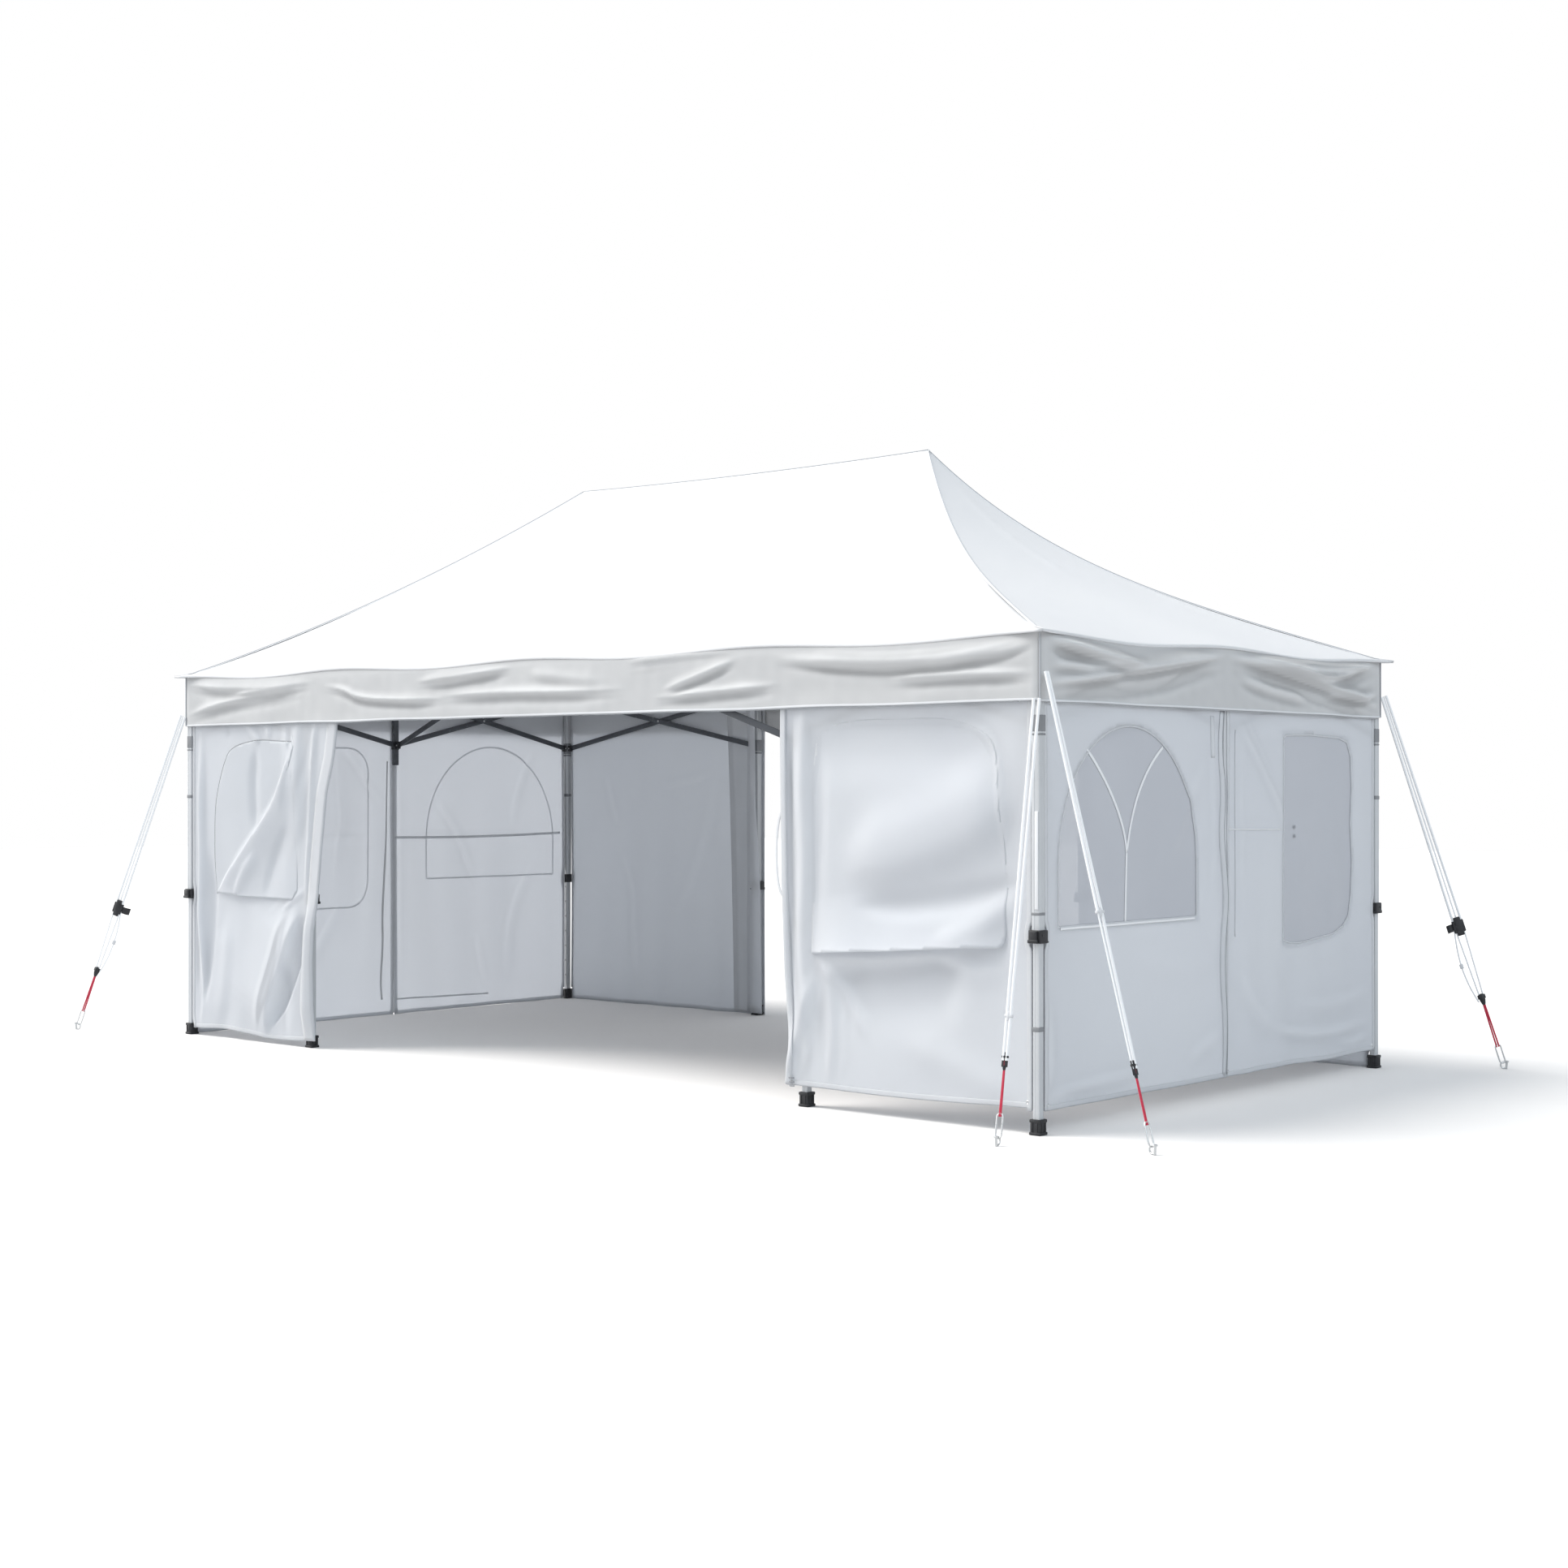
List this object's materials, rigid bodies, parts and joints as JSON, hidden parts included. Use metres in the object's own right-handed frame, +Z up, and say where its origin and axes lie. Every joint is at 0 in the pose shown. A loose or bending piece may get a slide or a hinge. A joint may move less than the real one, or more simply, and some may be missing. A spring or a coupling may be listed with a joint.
{
  "type": "pop-up marquee tent",
  "caption": "Pop-up marquee tent with a hip roof, valance, window walls, scissor trusses, telescoping legs and pegged guy lines.",
  "frame": {"origin": "on the ground at the centre of the tent's footprint", "axes": "+X along the long side, +Z up; the wide doorway faces -Y"},
  "size_m": [7.3282, 3.7752, 3.1594],
  "materials": {
    "cover_white": "coated polyester, matt with a soft sheen",
    "wall_white": "coated polyester, matt",
    "window_film": "translucent flexible film",
    "leg_aluminium": "satin anodised tube",
    "truss_grey": "satin dark grey coating",
    "rope_white": "braided polyester rope",
    "black_plastic": "moulded nylon",
    "red_cord": "braided cord",
    "peg_steel": "zinc plated"
  },
  "bodies": {
    "marquee": {"leg_upper_front_left": "leg_aluminium", "leg_upper_front_door_left": "leg_aluminium", "leg_upper_front_door_right": "leg_aluminium", "leg_upper_front_right": "leg_aluminium", "leg_upper_back_right": "leg_aluminium", "leg_upper_back_door_right": "leg_aluminium", "leg_upper_back_door_left": "leg_aluminium", "leg_upper_back_left": "leg_aluminium", "truss_left": "truss_grey", "truss_right": "truss_grey", "truss_front_left": "truss_grey", "truss_front_right": "truss_grey", "truss_back_left": "truss_grey", "truss_back_right": "truss_grey", "eave_beam_front": "truss_grey", "eave_beam_back": "truss_grey", "peak_frame_left": "truss_grey", "peak_frame_right": "truss_grey", "roof_truss_left": "truss_grey", "roof_truss_right": "truss_grey", "roof_truss_middle": "truss_grey", "roof_front": "cover_white", "roof_back": "cover_white", "roof_left": "cover_white", "roof_right": "cover_white", "valance_front": "cover_white", "valance_back": "cover_white", "valance_left": "cover_white", "valance_right": "cover_white", "wall_front_left": "wall_white", "wall_front_right": "wall_white", "wall_right_front": "wall_white", "wall_right_back": "wall_white", "wall_left_front": "wall_white", "wall_left_back": "wall_white", "wall_back_left": "wall_white", "wall_back_right": "wall_white", "window_front_left": "wall_white", "window_front_right": "wall_white", "window_right_front": "window_film", "window_right_back": "window_film", "window_left_front": "window_film", "window_left_back": "window_film", "guy_front_left": "rope_white", "guy_front_right_a": "rope_white", "guy_front_right_b": "rope_white", "guy_back_right": "rope_white", "guy_back_left": "rope_white"},
    "lower_leg_front_left": {"leg_lower_front_left": "leg_aluminium"},
    "lower_leg_front_door_left": {"leg_lower_front_door_left": "leg_aluminium"},
    "lower_leg_front_door_right": {"leg_lower_front_door_right": "leg_aluminium"},
    "lower_leg_front_right": {"leg_lower_front_right": "leg_aluminium"},
    "lower_leg_back_right": {"leg_lower_back_right": "leg_aluminium"},
    "lower_leg_back_door_right": {"leg_lower_back_door_right": "leg_aluminium"},
    "lower_leg_back_door_left": {"leg_lower_back_door_left": "leg_aluminium"},
    "lower_leg_back_left": {"leg_lower_back_left": "leg_aluminium"}
  },
  "joints": [
    {"name": "leg_slide_front_left", "type": "slide", "parent": "marquee", "child": "lower_leg_front_left", "axis": [0, 0, -1], "range_m": [0, 0.2]},
    {"name": "leg_slide_front_door_left", "type": "slide", "parent": "marquee", "child": "lower_leg_front_door_left", "axis": [0, 0, -1], "range_m": [0, 0.2]},
    {"name": "leg_slide_front_door_right", "type": "slide", "parent": "marquee", "child": "lower_leg_front_door_right", "axis": [0, 0, -1], "range_m": [0, 0.2]},
    {"name": "leg_slide_front_right", "type": "slide", "parent": "marquee", "child": "lower_leg_front_right", "axis": [0, 0, -1], "range_m": [0, 0.2]},
    {"name": "leg_slide_back_right", "type": "slide", "parent": "marquee", "child": "lower_leg_back_right", "axis": [0, 0, -1], "range_m": [0, 0.2]},
    {"name": "leg_slide_back_door_right", "type": "slide", "parent": "marquee", "child": "lower_leg_back_door_right", "axis": [0, 0, -1], "range_m": [0, 0.2]},
    {"name": "leg_slide_back_door_left", "type": "slide", "parent": "marquee", "child": "lower_leg_back_door_left", "axis": [0, 0, -1], "range_m": [0, 0.2]},
    {"name": "leg_slide_back_left", "type": "slide", "parent": "marquee", "child": "lower_leg_back_left", "axis": [0, 0, -1], "range_m": [0, 0.2]}
  ]
}
